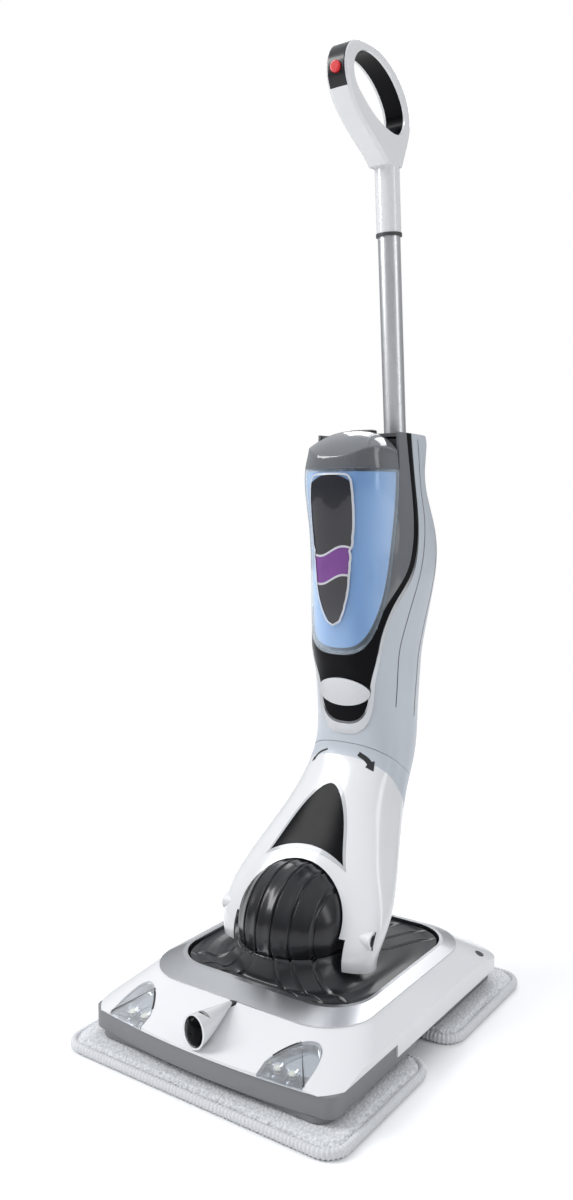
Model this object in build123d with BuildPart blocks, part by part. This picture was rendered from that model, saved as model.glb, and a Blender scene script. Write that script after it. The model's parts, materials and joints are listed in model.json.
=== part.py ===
"""Upright floor mop with a clear tank, a spray nozzle and two scrubbing pads. Millimetres, +Z up.

Pieces are drawn from the middle of the head and saved with the origin on the floor under the
middle of the whole mop. The front faces -Y and +X is right.
"""

from build123d import *
from math import cos, sin, radians, copysign, hypot
import os

os.makedirs("parts", exist_ok=True)

# From the head's middle back to the middle of the whole mop
ORIGIN_Y = 18.133

# Head cover
COVER_HALF = 160.0
COVER_FRONT = -192.0
COVER_BACK = 184.0
COVER_BOW = 13.0
COVER_WALL = 3.0
FRONT_HEM = 44.0
REAR_HEM = 30.0
HEM_STEP_Y = -70.0
SPREAD_HALF = 184.0
SPREAD_FRONT = -246.0
SPREAD_BACK = 240.0
DECK_Z = 73.0
CORNER_R = 14.0

# Bezel ring and skirt round the ball
RING_HALF = 138.0
RING_FRONT = -140.0
RING_BACK = 156.0
RING_POWER = 4.2
EYE_HALF = 121.0
EYE_FRONT = -104.0
EYE_BACK = 138.0
RING_INNER_Z = 80.0

# Ball joint
BALL_Y = -22.0
BALL_Z = 122.0
BALL_R = 68.0
BALL_WALL = 3.0
BALL_BASE_Z = 104.0
BALL_GAP = 1.5
PIN_R = 7.0
ARM_INNER = 75.0
ARM_OUTER = 108.0
ARM_DROP = 34.0
BALL_DROP = 13.0
RECLINE = 40.0

# Pads and their drive
PAD_HALF = 180.0
PAD_FRONT = -221.0
PAD_GAP = 24.0
PAD_R = 26.0
PAD_H = 13.0
HOOK_H = 1.2
PLATE_TOP = 20.5
TRAY_BOTTOM = 21.5
STROKE = 6.0
ROCKER_ARM = 30.0
ROCKER_Z = 24.5
ROCKER_H = 4.0

LENS_WALL = 1.8
LAMP_DEPTH = 12.0
LAMP_INNER = 76.0
LAMP_OUTER = 127.0
LAMP_TOP_X = 107.0
LAMP_TOP_Y = -149.0
LAMP_SHOULDER = -180.0
LAMP_BULBS = (88.0, 106.0)
BULB_Y = -183.0
BULB_Z = 46.9
PLUG_X = 150.0
PLUG_Y = 152.0
RING_EDGE = 1.2

NOZZLE_FRONT_Y = -206.0
NOZZLE_BACK_Y = -146.0
NOZZLE_Z = 68.0

TRAY_STEP_Y = -27.0
GUIDE_X = 110.0
GUIDE_YS = (-165.0, -75.0, 75.0, 165.0)
GUIDE_R = 3.5
GUIDE_HEAD_R = 6.5
SCREW_X = 138.0
SCREW_YS = (-150.0, 0.0, 150.0)
PLATE_HALF = 150.0
PLATE_INSET = 28.0
PLATE_BOTTOM = PAD_H + HOOK_H
HOOK_HALF = 120.0
BRACKET_Z = 36.5
ROCKER_PIN_R = 4.0
ROCKER_SLOT_R = 3.2
MOTOR_X = 26.0
SHAFT_R = 2.5
CRANK_Z = 30.5
CRANK_THROW = 5.0

# Swivel between neck and upper body
SWIVEL_TILT = 38.0
SWIVEL_Y = 117.0
SWIVEL_Z = 281.0
SWIVEL_GAP = 0.5

# Handle tube
TUBE_Y = 199.0
TUBE_Z = 691.0
TUBE_LEAN = 4.76
TUBE_R = 14.0
TUBE_WALL = 1.5
TUBE_DOWN = 120.0
TUBE_UP = 270.0
STEM_R = 15.3
STEM_START = 243.0
LOOP_HALF = 15.0

SHELL_WALL = 3.0
TANK_WALL = 2.5
TANK_GAP = 0.6
LIQUID_TOP = 640.0
TANK_TOP = 684.0
BODY_TOP = 684.0
WINDOW_BOTTOM = 470.0
STRIP_W = 13.0
TRIM_W = 5.0
TRIM_PROUD = 0.8
LABEL_TIP = 457.0
LABEL_TOP = 634.0
LABEL_HALF = 29.0
BADGE_TIP_Z = 266.0
BADGE_FOOT_Z = 190.0
BADGE_HALF = 51.0
BADGE_NEAR = 64.0
CAP_Z = 596.0
CAP_R = 15.0
VALVE_Z = 472.0
DIP_Y = 84.0
DIP_R = 10.0
SLEEVE_R = 24.0
BUSH_R = 10.0
HOUSING_R = 16.0
OVAL_Z = 374.0
BUTTON_Z = 1090.0
LOOP_MIDDLE = (130.0, 1082.0)
INLAY_DEPTH = 2.5
GRIP_DEPTH = 3.0
INLET_Z = 590.0

# A column section is height, front y, back y and half width, then any narrowing to the back
# and any other roundness.
NECK_SECTIONS = (
    (84, -48, 10, 102),
    (122, -42, 20, 108),
    (155, -26, 52, 104),
    (185, -10, 86, 92),
    (215, 12, 118, 79),
    (245, 36, 148, 68),
    (275, 60, 174, 62),
    (312, 78, 190, 59),
)
BODY_SECTIONS = (
    (215, 12, 118, 79),
    (245, 36, 148, 68),
    (275, 60, 174, 62),
    (312, 78, 190, 59),
    (345, 78, 195, 58),
    (380, 75, 198, 59),
    (415, 64, 208, 58),
    (457, 54, 230, 57),
    (500, 50, 250, 57),
    (545, 48, 257, 57),
    (590, 46, 243, 57, 0.08),
    (640, 45, 226, 57, 0.14),
    (692, 50, 221, 55, 0.18),
)
COLUMN_POWER = 2.7
SKIRT_SECTIONS = (
    (76, -102.5, 136.5, 119.5, 0, 3.9),
    (78.5, -97, 112, 105, 0, 3.2),
    (82, -92, 56, 80, 0, 2.4),
    (92, -90.5, 47, 70, 0, 2.1),
    (104, -89.3, 45.3, 67.3, 0, 2.0),
)

# Side-view outlines of the handle loop and its hole, as (y, z).
LOOP_OUTER = (
    (150, 1008), (104, 1034), (62, 1068), (54, 1090), (63, 1116), (98, 1130), (135, 1130),
    (168, 1119), (196, 1096), (206, 1070), (200, 1042), (187, 1012),
)
LOOP_HOLE = (
    (150, 1046), (120, 1052), (90, 1066), (72, 1081), (70, 1098), (84, 1114), (115, 1120),
    (150, 1112), (178, 1093), (190, 1070), (180, 1050),
)

# Side-view curves, as (y, z), that divide the upper body.
SHELL_CURVE = (
    (66, 300), (84, 362), (85, 436), (104, 474), (146, 516), (158, 575), (148, 628), (138, 700),
)
TANK_CURVE = ((48, 402), (62, 421), (78, 455), (93, 496), (102, 540), (106, 590), (106, 700))
NECK_CURVE = ((60, 330), (82, 285), (104, 245), (94, 208), (56, 160), (8, 112), (2, 80))


def save(piece, name):
    """Moves a finished piece to the shared origin, labels it and writes its STEP file."""
    placed = piece.moved(Location((0, -ORIGIN_Y, 0)))
    placed.label = name
    export_step(placed, f"parts/{name}.step")


def largest(piece):
    """The biggest solid of a cut piece, without any loose slivers."""
    return Part() + max(piece.solids(), key=lambda solid: solid.volume)


def oval_points(front, back, half, narrowing, power, count=16):
    """Points round a superellipse, from its front and back y and its half width."""
    middle = (front + back) / 2
    depth = (back - front) / 2
    points = []
    for step in range(count):
        turn = radians(360.0 * step / count)
        c, s = cos(turn), sin(turn)
        x = half * copysign(abs(c) ** (2 / power), c) * (1 - narrowing * s)
        y = middle + depth * copysign(abs(s) ** (2 / power), s)
        points.append((x, y))
    return points


def column(sections, grow=0.0):
    """A smooth upright solid through oval sections, all grown outward by the same amount."""
    with BuildPart() as body:
        for height, front, back, half, *shape in sections:
            narrowing = shape[0] if shape else 0.0
            power = shape[1] if len(shape) > 1 else COLUMN_POWER
            with BuildSketch(Plane.XY.offset(height)):
                with BuildLine():
                    size = (front - grow, back + grow, half + grow)
                    Spline(oval_points(*size, narrowing, power), periodic=True)
                make_face()
        loft()
    return body.part


def side_slab(curve, far_y, half=160.0):
    """Everything on one side of a side-view curve, as a slab across the whole width."""
    with BuildPart() as slab:
        with BuildSketch(Plane.YZ):
            with BuildLine():
                Spline(*curve)
                Polyline(curve[-1], (far_y, curve[-1][1]), (far_y, curve[0][1]), curve[0])
            make_face()
        extrude(amount=half, both=True)
    return slab.part


def shifted(curve, dy, dz=0.0):
    """The same side-view curve moved in y and z."""
    return tuple((y + dy, z + dz) for y, z in curve)


def box_at(low, high):
    """A box between two opposite corners."""
    size = [b - a for a, b in zip(low, high)]
    with BuildPart(Plane(origin=low)) as block:
        Box(*size, align=(Align.MIN, Align.MIN, Align.MIN))
    return block.part


def rod(start, end, radius, inner=0.0):
    """A round bar, or a tube where inner is given, between two points."""
    axis = Vector(*end) - Vector(*start)
    with BuildPart() as bar:
        with BuildSketch(Plane(origin=start, z_dir=axis)):
            Circle(radius)
            if inner:
                Circle(inner, mode=Mode.SUBTRACT)
        extrude(amount=axis.length)
    return bar.part


swivel_dir = Vector(0, sin(radians(SWIVEL_TILT)), cos(radians(SWIVEL_TILT)))
swivel_plane = Plane(origin=(0, SWIVEL_Y, SWIVEL_Z), x_dir=(1, 0, 0), z_dir=swivel_dir)
tube_dir = Vector(0, -sin(radians(TUBE_LEAN)), cos(radians(TUBE_LEAN)))
tube_plane = Plane(origin=(0, TUBE_Y, TUBE_Z), x_dir=(1, 0, 0), z_dir=tube_dir)
ball_centre = (0, BALL_Y, BALL_Z)
hinge_plane = Plane(origin=ball_centre, x_dir=(0, 1, 0), z_dir=(1, 0, 0))


def half_space(plane, above, size=700.0):
    """A large block on one side of a plane."""
    with BuildPart() as block:
        with BuildSketch(plane):
            Rectangle(size, size)
        extrude(amount=size if above else -size)
    return block.part


# ---------------------------------------------------------------- head cover


def cover_outline(inset, bow=COVER_BOW):
    """Closed plan outline of the cover: bowed front and back edges, rounded corners."""
    half = COVER_HALF - inset
    front = COVER_FRONT + inset
    back = COVER_BACK - inset
    ThreePointArc((-half, front), (0, front - bow), (half, front))
    Line((half, front), (half, back))
    ThreePointArc((half, back), (0, back + bow), (-half, back))
    Line((-half, back), (-half, front))


def ring_outline(half, front, back, radius, height):
    """A rounded rectangle about the ring's middle at one height."""
    with BuildSketch(Plane.XY.offset(height)) as outline:
        with Locations((0, (front + back) / 2)):
            RectangleRounded(2 * half, back - front, radius)
    return outline.sketch


def cover_blank(inset):
    """The cover as a full solid: an upright wall under a deck that slopes up to the ring."""
    wide = ring_outline(SPREAD_HALF, SPREAD_FRONT, SPREAD_BACK, 80, REAR_HEM - inset)
    narrow = ring_outline(RING_HALF, RING_FRONT, RING_BACK, 58, DECK_Z - inset)
    with BuildPart() as deck:
        loft([wide.face(), narrow.face()])
    with BuildPart() as blank:
        with BuildSketch(Plane.XY.offset(REAR_HEM - inset)) as foot:
            with BuildLine():
                cover_outline(inset)
            make_face()
            fillet(foot.vertices(), CORNER_R)
        extrude(amount=DECK_Z)
        add(deck.part, mode=Mode.INTERSECT)
    return blank.part


cover_solid = cover_blank(0.0)
cover_core = cover_blank(COVER_WALL)
lens_core = cover_blank(LENS_WALL)
lamp_floor = cover_blank(LAMP_DEPTH - 1.5)
lamp_back = cover_blank(LAMP_DEPTH)
hem_step = box_at((-200, HEM_STEP_Y - 300, 0), (200, HEM_STEP_Y, FRONT_HEM))


def lamp_prism(side, inset):
    """An upright prism with a headlight's plan outline: round at the back, open to the front."""
    inner = (side * (LAMP_INNER + inset), COVER_FRONT - 30)
    outer = (side * (LAMP_OUTER - inset), COVER_FRONT - 30)
    with BuildPart() as prism:
        with BuildSketch(Plane.XY.offset(FRONT_HEM + 0.5)):
            with BuildLine():
                Line(inner, outer)
                Line(outer, (outer[0], LAMP_SHOULDER))
                Spline(
                    (outer[0], LAMP_SHOULDER),
                    (side * (LAMP_TOP_X + 2), LAMP_TOP_Y - inset),
                    (side * (LAMP_TOP_X - 14), LAMP_TOP_Y - 12 - inset),
                    (inner[0], LAMP_SHOULDER - 8),
                )
                Line((inner[0], LAMP_SHOULDER - 8), inner)
            make_face()
        extrude(amount=50)
    return prism.part


def upright(height, width, tall):
    """An oval cross-section standing across the nozzle's line, as a sketch."""
    y, z = height
    plane = Plane(origin=(0, y, z), x_dir=(1, 0, 0), z_dir=(0, -1, 0))
    with BuildSketch(plane) as section:
        Ellipse(width / 2, tall / 2)
    return section.sketch


plug_prisms = []
for side in (-1, 1):
    with BuildPart() as plug_prism:
        with BuildSketch(Plane.XY.offset(50)):
            with Locations((side * PLUG_X, PLUG_Y)):
                Ellipse(4.5, 7.5)
        extrude(amount=30)
    plug_prisms.append(plug_prism.part)

with BuildPart() as head_cover:
    add(cover_solid)
    add(cover_core, mode=Mode.SUBTRACT)
    add(hem_step, mode=Mode.SUBTRACT)
    opening = ring_outline(EYE_HALF + 8, EYE_FRONT - 8, EYE_BACK + 8, 52, DECK_Z - 10)
    extrude(opening, amount=30, mode=Mode.SUBTRACT)
    for side in (-1, 1):
        add(lamp_prism(side, 0.0), mode=Mode.SUBTRACT)
    for prism in plug_prisms:
        add(prism, mode=Mode.SUBTRACT)
    add(rod((0, NOZZLE_BACK_Y + 4, 48), (0, NOZZLE_BACK_Y + 4, 90), 5), mode=Mode.SUBTRACT)
save(head_cover.part, "head_cover")

with BuildPart() as corner_plugs:
    for prism in plug_prisms:
        add(prism)
    add(cover_solid, mode=Mode.INTERSECT)
    add(cover_core, mode=Mode.SUBTRACT)
save(corner_plugs.part, "corner_plugs")

with BuildPart() as bezel_ring:
    base = ring_outline(RING_HALF, RING_FRONT, RING_BACK, 58, DECK_Z)
    extrude(base, amount=RING_EDGE)
    low = ring_outline(RING_HALF, RING_FRONT, RING_BACK, 58, DECK_Z + RING_EDGE)
    crest = ring_outline(EYE_HALF + 4, EYE_FRONT - 6, EYE_BACK + 4, 52, RING_INNER_Z)
    loft([low.face(), crest.face()])
    eye = ring_outline(EYE_HALF, EYE_FRONT, EYE_BACK, 48, DECK_Z - 1)
    extrude(eye, amount=30, mode=Mode.SUBTRACT)
save(bezel_ring.part, "bezel_ring")

skirt_solid = column(SKIRT_SECTIONS)
with BuildPart() as ball_skirt:
    add(skirt_solid)
    flange = ring_outline(EYE_HALF - 0.6, EYE_FRONT + 0.6, EYE_BACK - 0.6, 47.6, DECK_Z)
    extrude(flange, amount=3.5)
    flange_hole = ring_outline(EYE_HALF - 8, EYE_FRONT + 8, EYE_BACK - 8, 40, DECK_Z - 1)
    extrude(flange_hole, amount=3.2, mode=Mode.SUBTRACT)
    add(column(SKIRT_SECTIONS, -2.2).translate((0, 0, -2.2)), mode=Mode.SUBTRACT)
    add(rod((0, BALL_Y, 60), (0, BALL_Y, 120), BALL_R - 4), mode=Mode.SUBTRACT)
save(ball_skirt.part, "ball_skirt")

with BuildPart() as ball_dome:
    with Locations(ball_centre):
        Sphere(BALL_R)
        Sphere(BALL_R - BALL_WALL, mode=Mode.SUBTRACT)
    split(bisect_by=Plane.XY.offset(BALL_BASE_Z), keep=Keep.TOP)
    add(rod((-90, BALL_Y, BALL_Z), (90, BALL_Y, BALL_Z), PIN_R), mode=Mode.SUBTRACT)
save(ball_dome.part, "ball_dome")

with BuildPart() as pivot_pin:
    add(rod((-ARM_OUTER + 8, BALL_Y, BALL_Z), (ARM_OUTER - 8, BALL_Y, BALL_Z), PIN_R))
save(pivot_pin.part, "pivot_pin")


def cover_prism(inset, bottom, top):
    """An upright prism with the cover's plan outline, drawn in by an inset."""
    with BuildPart() as prism:
        with BuildSketch(Plane.XY.offset(bottom)) as foot:
            with BuildLine():
                cover_outline(inset)
            make_face()
            fillet(foot.vertices(), CORNER_R - inset / 2)
        extrude(amount=top - bottom)
    return prism.part


GUIDE_SPOTS = [(x, y) for x in (-GUIDE_X, GUIDE_X) for y in GUIDE_YS]
SCREW_SPOTS = [(x, y) for x in (-SCREW_X, SCREW_X) for y in SCREW_YS]
drive_window = box_at((-16, -42, 0), (46, 42, 60))

with BuildPart() as base_tray:
    add(cover_prism(2, TRAY_BOTTOM, FRONT_HEM - 0.3))
    add(box_at((-200, TRAY_STEP_Y, 0), (200, 300, 80)), mode=Mode.SUBTRACT)
    add(box_at((-200, HEM_STEP_Y - 0.3, REAR_HEM - 0.3), (200, 0, 80)), mode=Mode.SUBTRACT)
    add(cover_prism(7, TRAY_BOTTOM, FRONT_HEM - 0.3))
    add(cover_prism(10, TRAY_BOTTOM + 3, 80), mode=Mode.SUBTRACT)
    add(drive_window, mode=Mode.SUBTRACT)
    with Locations(*[(x, y, TRAY_BOTTOM + 7) for x, y in GUIDE_SPOTS + SCREW_SPOTS]):
        Cylinder(7, 8)
    with Locations(*[(x, y, TRAY_BOTTOM + 5) for x, y in GUIDE_SPOTS]):
        Cylinder(GUIDE_R, 20, mode=Mode.SUBTRACT)
    with Locations(*[(x, y, TRAY_BOTTOM + 5) for x, y in SCREW_SPOTS]):
        Cylinder(2, 20, mode=Mode.SUBTRACT)
    with Locations(*[(x, y, TRAY_BOTTOM) for x, y in SCREW_SPOTS]):
        Cylinder(4, 6, mode=Mode.SUBTRACT)
save(base_tray.part, "base_tray")

with BuildPart() as base_screws:
    for x, y in SCREW_SPOTS:
        add(rod((x, y, TRAY_BOTTOM + 0.5), (x, y, TRAY_BOTTOM + 3), 4))
        add(rod((x, y, TRAY_BOTTOM + 2), (x, y, TRAY_BOTTOM + 14), 2))
save(base_screws.part, "base_screws")

with BuildPart() as guide_screws:
    for x, y in GUIDE_SPOTS:
        add(rod((x, y, PLATE_BOTTOM + 0.8), (x, y, PLATE_BOTTOM + 2.8), GUIDE_HEAD_R))
        add(rod((x, y, PLATE_BOTTOM + 2), (x, y, TRAY_BOTTOM + 10), GUIDE_R))
save(guide_screws.part, "guide_screws")

# ---------------------------------------------------------------- headlights

with BuildPart() as headlight_lenses:
    for side in (-1, 1):
        add(lamp_prism(side, 0.5))
    add(cover_solid, mode=Mode.INTERSECT)
    add(lens_core, mode=Mode.SUBTRACT)
save(headlight_lenses.part, "headlight_lenses")

with BuildPart() as headlight_reflectors:
    for side in (-1, 1):
        add(lamp_prism(side, 0.7))
    add(lens_core, mode=Mode.INTERSECT)
    add(lamp_back, mode=Mode.SUBTRACT)
    for side in (-1, 1):
        pocket = lamp_prism(side, 2.2) - lamp_floor
        pocket = pocket & box_at((-200, COVER_FRONT - 60, FRONT_HEM + 1.5), (200, 0, 90))
        add(pocket, mode=Mode.SUBTRACT)
save(headlight_reflectors.part, "headlight_reflectors")

with BuildPart() as headlight_bulbs:
    for side in (-1, 1):
        for x in LAMP_BULBS:
            foot = Vector(side * x, BULB_Y, BULB_Z)
            tip = foot + Vector(0, -0.9, 2.8)
            add(rod(tuple(foot), tuple(tip), 3.2))
save(headlight_bulbs.part, "headlight_bulbs")

# ---------------------------------------------------------------- spray nozzle

with BuildPart() as nozzle_shroud:
    sections = [
        upright((NOZZLE_FRONT_Y, NOZZLE_Z), 28, 38),
        upright((-190, NOZZLE_Z + 0.5), 25, 30),
        upright((-168, NOZZLE_Z + 3), 16, 17),
        upright((NOZZLE_BACK_Y, NOZZLE_Z + 5.5), 5, 5),
    ]
    loft([section.face() for section in sections])
    add(cover_solid, mode=Mode.SUBTRACT)
    mouth = upright((NOZZLE_FRONT_Y - 1, NOZZLE_Z), 24, 34)
    extrude(mouth, amount=-17, mode=Mode.SUBTRACT)
save(nozzle_shroud.part, "nozzle_shroud")

with BuildPart() as spray_nozzle:
    lip = upright((NOZZLE_FRONT_Y - 4, NOZZLE_Z), 8, 16)
    waist = upright((NOZZLE_FRONT_Y, NOZZLE_Z), 20, 30)
    back = upright((NOZZLE_FRONT_Y + 12, NOZZLE_Z), 22, 32)
    loft([lip.face(), waist.face(), back.face()])
    spout = upright((NOZZLE_FRONT_Y - 6, NOZZLE_Z), 2, 2)
    extrude(spout, amount=-30, mode=Mode.SUBTRACT)
    add(cover_solid, mode=Mode.SUBTRACT)
save(spray_nozzle.part, "spray_nozzle")

with BuildPart() as spray_hose:
    with BuildLine():
        FilletPolyline(
            (0, NOZZLE_BACK_Y + 4, DECK_Z - 1),
            (0, NOZZLE_BACK_Y + 4, 52),
            (0, -90, 44),
            (0, -40, 70),
            radius=12,
        )
    with BuildSketch(Plane(origin=(0, NOZZLE_BACK_Y + 4, DECK_Z - 1), z_dir=(0, 0, -1))):
        Circle(2.5)
    sweep()
save(spray_hose.part, "spray_hose")

# ---------------------------------------------------------------- drive and pads

with BuildPart() as drive_bracket:
    add(box_at((-30, -50, BRACKET_Z), (56, 50, BRACKET_Z + 3)))
    for x, y in ((-25, -46), (51, -46), (-25, 46), (51, 46)):
        add(rod((x, y, TRAY_BOTTOM + 3), (x, y, BRACKET_Z + 1), 4))
    add(rod((0, 0, ROCKER_Z - 1.5), (0, 0, BRACKET_Z + 1), ROCKER_PIN_R))
    add(rod((MOTOR_X, 0, 30), (MOTOR_X, 0, 60), SHAFT_R + 0.1), mode=Mode.SUBTRACT)
save(drive_bracket.part, "drive_bracket")

with BuildPart() as drive_motor:
    add(rod((MOTOR_X, 0, BRACKET_Z + 3), (MOTOR_X, 0, BRACKET_Z + 28), 24))
    add(rod((MOTOR_X, 0, 30), (MOTOR_X, 0, BRACKET_Z + 20), SHAFT_R + 0.1), mode=Mode.SUBTRACT)
save(drive_motor.part, "drive_motor")

with BuildPart() as crank:
    add(rod((MOTOR_X, 0, CRANK_Z), (MOTOR_X, 0, CRANK_Z + 3), 9))
    add(rod((MOTOR_X, 0, CRANK_Z + 2), (MOTOR_X, 0, BRACKET_Z + 19), SHAFT_R))
    add(rod((MOTOR_X, CRANK_THROW, CRANK_Z - 1.4), (MOTOR_X, CRANK_THROW, CRANK_Z + 1), 2))
save(crank.part, "crank")

with BuildPart() as rocker:
    with BuildSketch(Plane.XY.offset(ROCKER_Z)):
        Rectangle(14, 2 * ROCKER_ARM + 14)
        with Locations((17, 0)):
            Rectangle(34, 14)
        with Locations((0, -ROCKER_ARM), (0, ROCKER_ARM)):
            SlotOverall(9, 2 * ROCKER_SLOT_R, rotation=90, mode=Mode.SUBTRACT)
        with Locations((MOTOR_X, 0)):
            Rectangle(12, 5, mode=Mode.SUBTRACT)
        Circle(ROCKER_PIN_R + 0.06, mode=Mode.SUBTRACT)
    extrude(amount=ROCKER_H)
save(rocker.part, "rocker_arm")


def pad_block(front, back, half, radius, bottom, top):
    """A flat rounded slab between two y values."""
    with BuildPart() as block:
        with BuildSketch(Plane.XY.offset(bottom)):
            with Locations((0, (front + back) / 2)):
                RectangleRounded(2 * half, back - front, radius)
        extrude(amount=top - bottom)
    return block.part


for name, side in (("front", -1), ("rear", 1)):
    near = side * PAD_GAP
    far = side * -PAD_FRONT
    low_y = min(near, far)
    high_y = max(near, far)
    spots = [(x, y) for x, y in GUIDE_SPOTS if y * side > 0]
    with BuildPart() as pad_plate:
        inset_low = low_y + (PLATE_INSET if side < 0 else 2)
        inset_high = high_y - (2 if side < 0 else PLATE_INSET)
        add(pad_block(inset_low, inset_high, PLATE_HALF, 18, PLATE_BOTTOM, PLATE_TOP))
        with BuildSketch(Plane.XY.offset(PLATE_BOTTOM)):
            with Locations(*spots):
                SlotOverall(2 * (GUIDE_R + STROKE + 0.5), 2 * GUIDE_R + 0.8)
        extrude(amount=10, mode=Mode.SUBTRACT)
        with BuildSketch(Plane.XY.offset(PLATE_BOTTOM)):
            with Locations(*spots):
                SlotOverall(2 * (GUIDE_HEAD_R + STROKE + 0.6), 2 * GUIDE_HEAD_R + 1.2)
        extrude(amount=3.4, mode=Mode.SUBTRACT)
        pin_y = side * ROCKER_ARM
        add(rod((0, pin_y, PLATE_TOP - 2), (0, pin_y, ROCKER_Z + ROCKER_H), ROCKER_SLOT_R - 0.25))
    save(pad_plate.part, f"{name}_pad_plate")

    with BuildPart() as hook_strips:
        middle = (low_y + high_y) / 2
        with BuildSketch(Plane.XY.offset(PAD_H)):
            with Locations(*[(0, middle + step) for step in (-24, 0, 24)]):
                Rectangle(2 * HOOK_HALF, 12)
        extrude(amount=HOOK_H)
    save(hook_strips.part, f"{name}_hook_strips")

    with BuildPart() as pad:
        add(pad_block(low_y, high_y, PAD_HALF, PAD_R, 0, PAD_H))
        fillet(pad.edges().group_by(Axis.Z)[-1], 4)
        fillet(pad.edges().group_by(Axis.Z)[0], 2)
    save(pad.part, f"{name}_pad")

# ---------------------------------------------------------------- neck

neck_solid = column(NECK_SECTIONS)
neck_core = column(NECK_SECTIONS, -SHELL_WALL)
neck_skin = column(NECK_SECTIONS, 0.5)
neck_recess = column(NECK_SECTIONS, -1.2)
below_swivel = half_space(swivel_plane.offset(-SWIVEL_GAP / 2), above=False)
above_swivel = half_space(swivel_plane.offset(SWIVEL_GAP / 2), above=True)
neck_front_slab = side_slab(NECK_CURVE, -150.0)


def ball_clearance(radius):
    """The space swept by the ball, with a straight gap below it between the two arms."""
    with BuildPart() as space:
        with Locations(ball_centre):
            Sphere(radius)
        add(box_at((-ARM_INNER, -160, 60), (ARM_INNER, 120, BALL_Z)))
        gap_height = BALL_Z + 26
        add(box_at((-62, -160, 60), (62, BALL_Y, gap_height)))
    return space.part




def below_recline(angle, drop):
    """What comes nearer the floor than the hinge less a drop, once the neck reclines by an angle."""
    upward = Vector(0, -sin(radians(angle)), cos(radians(angle)))
    level = Plane(origin=Vector(*ball_centre) - upward * drop, x_dir=(1, 0, 0), z_dir=upward)
    return half_space(level, above=False)


arm_trim = below_recline(0, ARM_DROP) + below_recline(RECLINE / 2, ARM_DROP)
arm_trim = arm_trim + below_recline(RECLINE, ARM_DROP)
between_arms = box_at((1 - ARM_INNER, -200, 0), (ARM_INNER - 1, 300, 300))
arm_trim = arm_trim + (below_recline(RECLINE, BALL_DROP) & between_arms)
ball_space = ball_clearance(BALL_R + BALL_GAP)
ball_wall_space = ball_clearance(BALL_R + BALL_GAP + SHELL_WALL)


def badge_prism(grow):
    """The badge's pointed arch in front view, grown by an even margin."""
    half = BADGE_HALF + grow
    foot = BADGE_FOOT_Z - grow
    top = BADGE_TIP_Z + grow
    rise = (top - foot) / 3
    with BuildPart() as prism:
        with BuildSketch(Plane(origin=(0, BADGE_NEAR, 0), x_dir=(1, 0, 0), z_dir=(0, -1, 0))):
            with BuildLine():
                Spline(
                    (-half, foot),
                    (-half * 0.78, foot + rise),
                    (-half * 0.45, foot + 2.3 * rise),
                    (0, top),
                    (half * 0.45, foot + 2.3 * rise),
                    (half * 0.78, foot + rise),
                    (half, foot),
                )
                ThreePointArc((half, foot), (0, foot + 14), (-half, foot))
            make_face()
        extrude(amount=260)
    return prism.part


frame_prism = badge_prism(5.0)
panel_prism = badge_prism(0.0)

with BuildPart() as neck_front:
    add(neck_solid)
    add(neck_core - ball_wall_space, mode=Mode.SUBTRACT)
    add(neck_solid & rod((1 - ARM_OUTER, BALL_Y, BALL_Z), (ARM_OUTER - 1, BALL_Y, BALL_Z), HOUSING_R))
    add(ball_space, mode=Mode.SUBTRACT)
    add(arm_trim, mode=Mode.SUBTRACT)
    add(neck_front_slab, mode=Mode.INTERSECT)
    add(below_swivel, mode=Mode.INTERSECT)
    add(rod((4 - ARM_OUTER, BALL_Y, BALL_Z), (ARM_OUTER - 4, BALL_Y, BALL_Z), BUSH_R + 0.1),
        mode=Mode.SUBTRACT)
    add((neck_skin - neck_recess) & frame_prism, mode=Mode.SUBTRACT)
save(neck_front.part, "neck_front")

with BuildPart() as neck_rear:
    add(neck_solid)
    add(neck_core - ball_wall_space, mode=Mode.SUBTRACT)
    add(ball_space, mode=Mode.SUBTRACT)
    add(arm_trim, mode=Mode.SUBTRACT)
    add(neck_front_slab, mode=Mode.SUBTRACT)
    add(below_swivel, mode=Mode.INTERSECT)
save(largest(neck_rear.part), "neck_rear")

with BuildPart() as badge_frame:
    add(neck_skin)
    add(neck_recess, mode=Mode.SUBTRACT)
    add(frame_prism, mode=Mode.INTERSECT)
    add(panel_prism, mode=Mode.SUBTRACT)
    add(ball_space, mode=Mode.SUBTRACT)
    add(below_swivel, mode=Mode.INTERSECT)
save(badge_frame.part, "badge_frame")

with BuildPart() as badge_panel:
    add(neck_solid)
    add(neck_recess, mode=Mode.SUBTRACT)
    add(panel_prism, mode=Mode.INTERSECT)
    add(ball_space, mode=Mode.SUBTRACT)
save(badge_panel.part, "badge_panel")

with BuildPart() as pivot_bushes:
    for side in (-1, 1):
        add(rod((side * (ARM_INNER - 1), BALL_Y, BALL_Z),
                (side * (ARM_OUTER - 6), BALL_Y, BALL_Z), BUSH_R + 0.1, PIN_R + 0.05))
save(pivot_bushes.part, "pivot_bushes")


def along_swivel(distance):
    """A point on the swivel axis, at a distance above the joint's face."""
    return tuple(Vector(0, SWIVEL_Y, SWIVEL_Z) + swivel_dir * distance)


swivel_slab = (half_space(swivel_plane.offset(-5), above=True)
               & half_space(swivel_plane.offset(-0.6), above=False))
floor_slab = (half_space(swivel_plane.offset(0.6), above=True)
              & half_space(swivel_plane.offset(5), above=False))

with BuildPart() as swivel_base:
    add(column(NECK_SECTIONS, -SHELL_WALL - 0.1))
    add(swivel_slab, mode=Mode.INTERSECT)
    add(rod(along_swivel(-3), along_swivel(16), SLEEVE_R))
    add(rod(along_swivel(-12), along_swivel(18), SLEEVE_R - 4), mode=Mode.SUBTRACT)
save(swivel_base.part, "swivel_base")

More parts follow.
